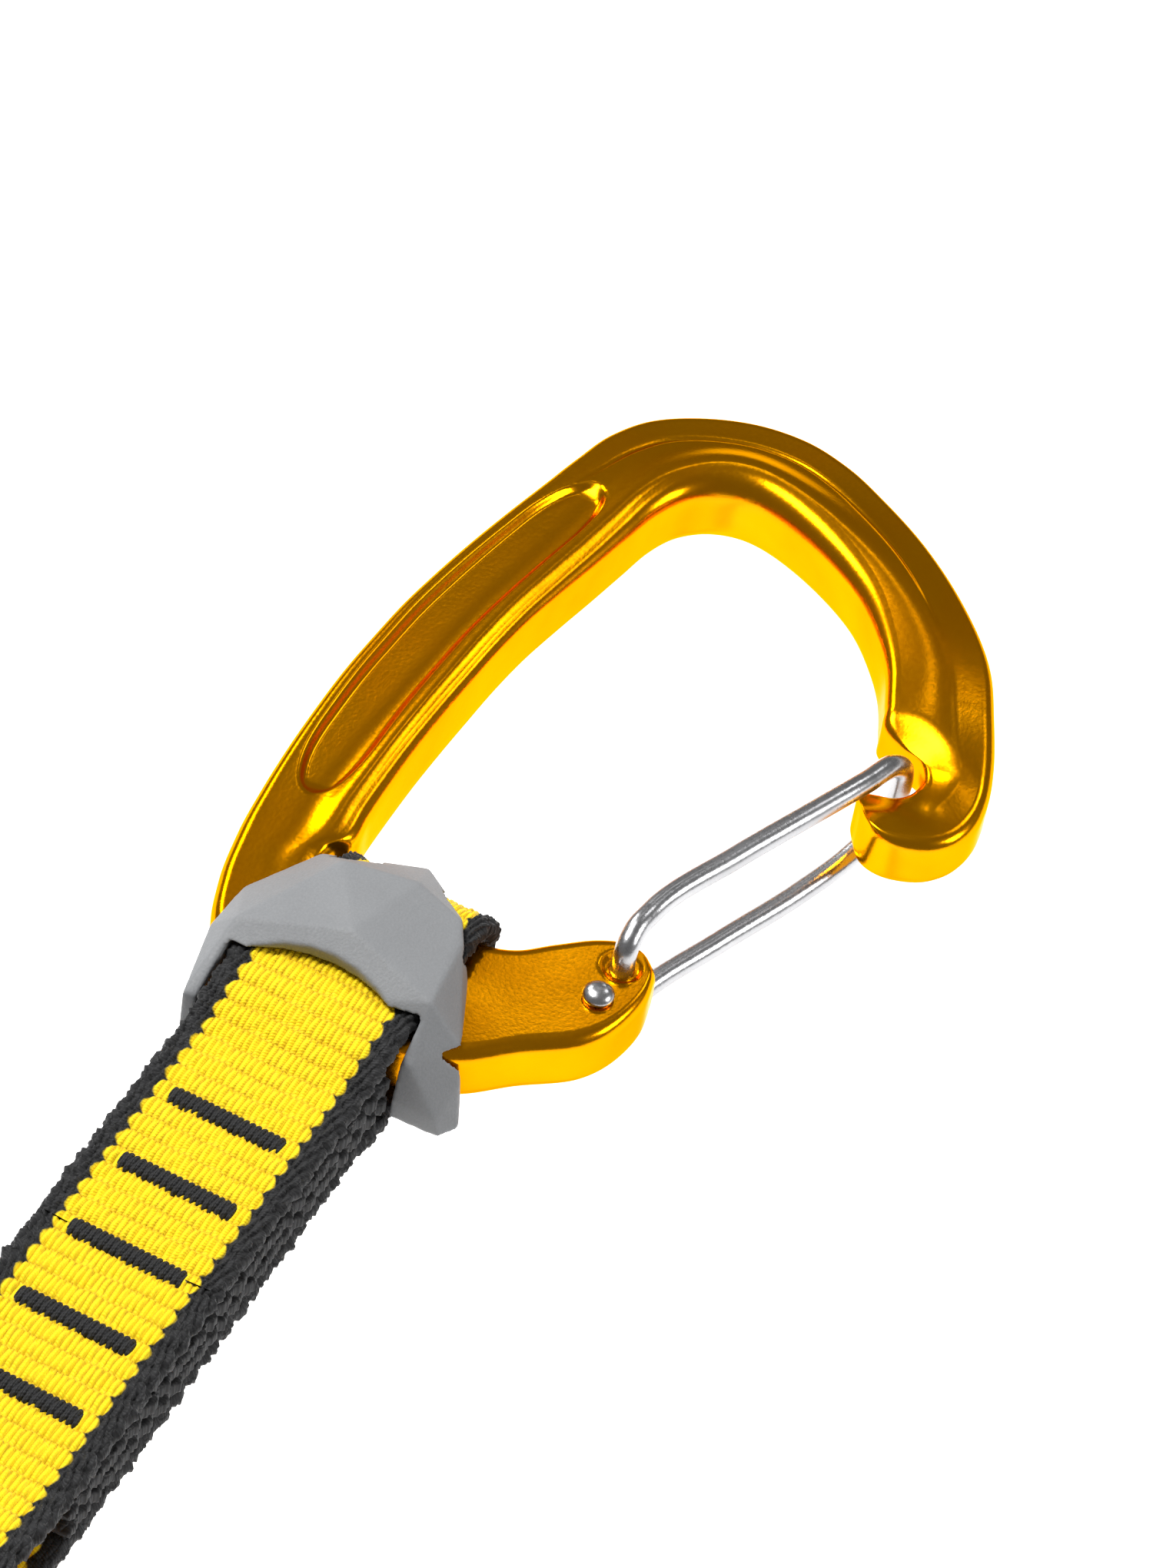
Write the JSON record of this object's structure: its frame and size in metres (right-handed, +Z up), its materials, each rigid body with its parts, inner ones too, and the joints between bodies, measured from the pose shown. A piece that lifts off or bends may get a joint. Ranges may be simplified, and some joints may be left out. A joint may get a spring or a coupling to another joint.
{
  "type": "climbing quickdraw",
  "caption": "Climbing quickdraw: two anodised wire-gate carabiners joined by a short sewn webbing sling, with a rubber keeper holding the rope end straight.",
  "frame": {"origin": "centre of the overall box at its foot, the plane the keeper's foot lies on", "axes": "+X along the sling towards the rope carabiner, +Y towards the spines, +Z up, square to the flat side"},
  "size_m": [0.2516, 0.0594, 0.0165],
  "materials": {
    "anodised": "gold anodised, polished",
    "stainless": "bright drawn wire",
    "webbing": "yellow woven nylon with charcoal edges",
    "inner_webbing": "charcoal woven nylon",
    "thread": "charcoal stitching",
    "rubber": "matte grey"
  },
  "bodies": {
    "sling": {"sling_strap": "webbing", "sling_inner_ply_upper": "inner_webbing", "sling_inner_ply_lower": "inner_webbing", "bar_tack_1": "thread", "bar_tack_2": "thread", "bar_tack_3": "thread", "bar_tack_4": "thread", "bar_tack_5": "thread", "keeper": "rubber"},
    "rope_carabiner": {"rope_carabiner_body": "anodised"},
    "rope_gate": {"rope_carabiner_gate": "stainless"},
    "bolt_carabiner": {"bolt_carabiner_body": "anodised"},
    "bolt_gate": {"bolt_carabiner_gate": "stainless"}
  },
  "joints": [
    {"name": "rope_carabiner_flex", "type": "hinge", "parent": "sling", "child": "rope_carabiner", "pos_m": [0.0465, 0.0113, 0.0076], "axis": [0, 1, 0], "range_deg": [-12, 12], "stiffness_Nm_per_rad": 1, "deforming": ["keeper", "sling_strap"]},
    {"name": "rope_gate_hinge", "type": "hinge", "parent": "rope_carabiner", "child": "rope_gate", "pos_m": [0.05085, -0.0095, 0.0076], "axis": [0, 0, 1], "range_deg": [0, 34], "stiffness_Nm_per_rad": 0.05},
    {"name": "bolt_carabiner_swing", "type": "hinge", "parent": "sling", "child": "bolt_carabiner", "pos_m": [-0.0465, 0.0113, 0.0076], "axis": [0, 1, 0], "range_deg": [-60, 60], "deforming": ["sling_strap"]},
    {"name": "bolt_gate_hinge", "type": "hinge", "parent": "bolt_carabiner", "child": "bolt_gate", "pos_m": [-0.05085, -0.0095, 0.0076], "axis": [0, 0, -1], "range_deg": [0, 34], "stiffness_Nm_per_rad": 0.05}
  ]
}
